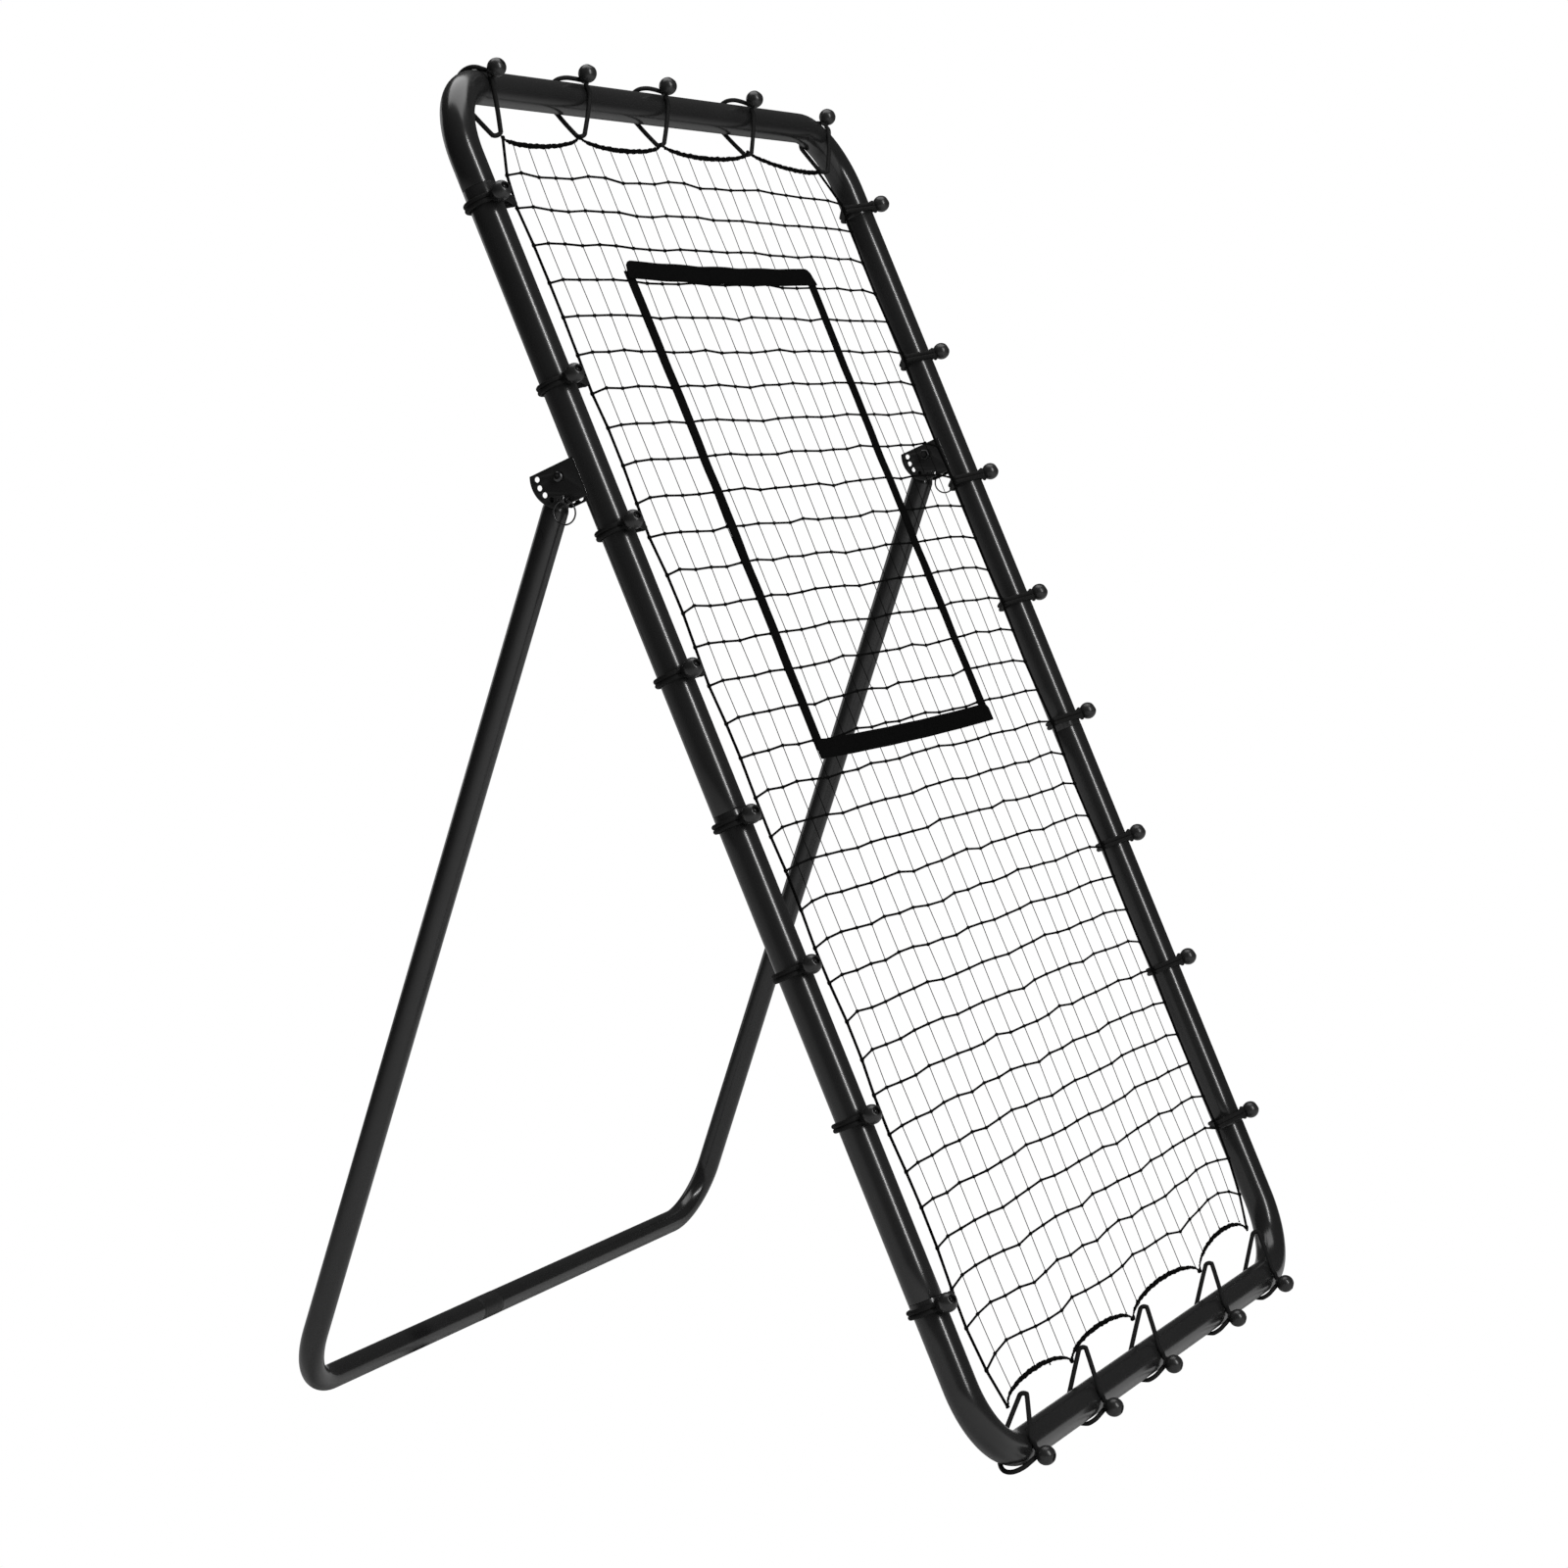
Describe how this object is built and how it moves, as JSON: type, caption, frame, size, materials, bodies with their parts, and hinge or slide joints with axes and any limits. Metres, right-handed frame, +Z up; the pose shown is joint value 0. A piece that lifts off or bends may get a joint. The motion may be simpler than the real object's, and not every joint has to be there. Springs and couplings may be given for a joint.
{
  "type": "pitch back rebounder",
  "caption": "Leaning rounded steel tube frame with a mesh rebound net on ball bungees, a webbing strike zone and a hinged U-shaped rear stand.",
  "frame": {"origin": "on the floor, at the centre of the object's own box seen from above", "axes": "+Z up, +X across the frame to the player's right, -Y towards the player and +Y towards the stand"},
  "size_m": [1.247, 0.9972, 1.6832],
  "materials": {
    "powder_coat": "satin black powder coat",
    "hardware": "black oxide",
    "bungee": "black cord and smooth ball",
    "net_cord": "black knotted cord",
    "webbing": "black woven webbing",
    "joint_plastic": "matte black"
  },
  "bodies": {
    "frame": {"frame_top": "powder_coat", "frame_bottom": "powder_coat", "rail_upper_left": "powder_coat", "rail_upper_right": "powder_coat", "rail_lower_left": "powder_coat", "rail_lower_right": "powder_coat", "plate_outer_left": "powder_coat", "plate_outer_right": "powder_coat", "plate_inner_left": "powder_coat", "plate_inner_right": "powder_coat", "pivot_bolt_left": "hardware", "pivot_bolt_right": "hardware", "pivot_nut_left": "hardware", "pivot_nut_right": "hardware", "net": "net_cord", "zone_strap_top": "webbing", "zone_strap_bottom": "webbing", "zone_strap_left": "webbing", "zone_strap_right": "webbing", "bungee_left_1": "bungee", "bungee_left_2": "bungee", "bungee_left_3": "bungee", "bungee_left_4": "bungee", "bungee_left_5": "bungee", "bungee_left_6": "bungee", "bungee_left_7": "bungee", "bungee_left_8": "bungee", "bungee_right_1": "bungee", "bungee_right_2": "bungee", "bungee_right_3": "bungee", "bungee_right_4": "bungee", "bungee_right_5": "bungee", "bungee_right_6": "bungee", "bungee_right_7": "bungee", "bungee_right_8": "bungee", "bungee_top_1": "bungee", "bungee_top_2": "bungee", "bungee_top_3": "bungee", "bungee_top_4": "bungee", "bungee_top_5": "bungee", "bungee_bottom_1": "bungee", "bungee_bottom_2": "bungee", "bungee_bottom_3": "bungee", "bungee_bottom_4": "bungee", "bungee_bottom_5": "bungee"},
    "stand": {"stand_left": "powder_coat", "stand_right": "powder_coat", "stand_joint": "joint_plastic"},
    "lock_pin_left": {"lock_pin_left": "hardware"},
    "lock_pin_right": {"lock_pin_right": "hardware"},
    "pin_ring_left": {"pin_ring_left": "hardware"},
    "pin_ring_right": {"pin_ring_right": "hardware"}
  },
  "joints": [
    {"name": "stand_hinge", "type": "hinge", "parent": "frame", "child": "stand", "pos_m": [0, 0.10446, 1.17138], "axis": [1, 0, 0], "range_deg": [-34.5, 63.6]},
    {"name": "lock_pin_left_slide", "type": "slide", "parent": "frame", "child": "lock_pin_left", "axis": [-1, 0, 0], "range_m": [0, 0.045]},
    {"name": "lock_pin_right_slide", "type": "slide", "parent": "frame", "child": "lock_pin_right", "axis": [1, 0, 0], "range_m": [0, 0.045]},
    {"name": "pin_ring_left_swing", "type": "hinge", "parent": "lock_pin_left", "child": "pin_ring_left", "pos_m": [-0.618, 0.09254, 1.14374], "axis": [0, 1, 0], "range_deg": [-10, 100]},
    {"name": "pin_ring_right_swing", "type": "hinge", "parent": "lock_pin_right", "child": "pin_ring_right", "pos_m": [0.618, 0.09254, 1.14374], "axis": [0, -1, 0], "range_deg": [-10, 100]}
  ]
}
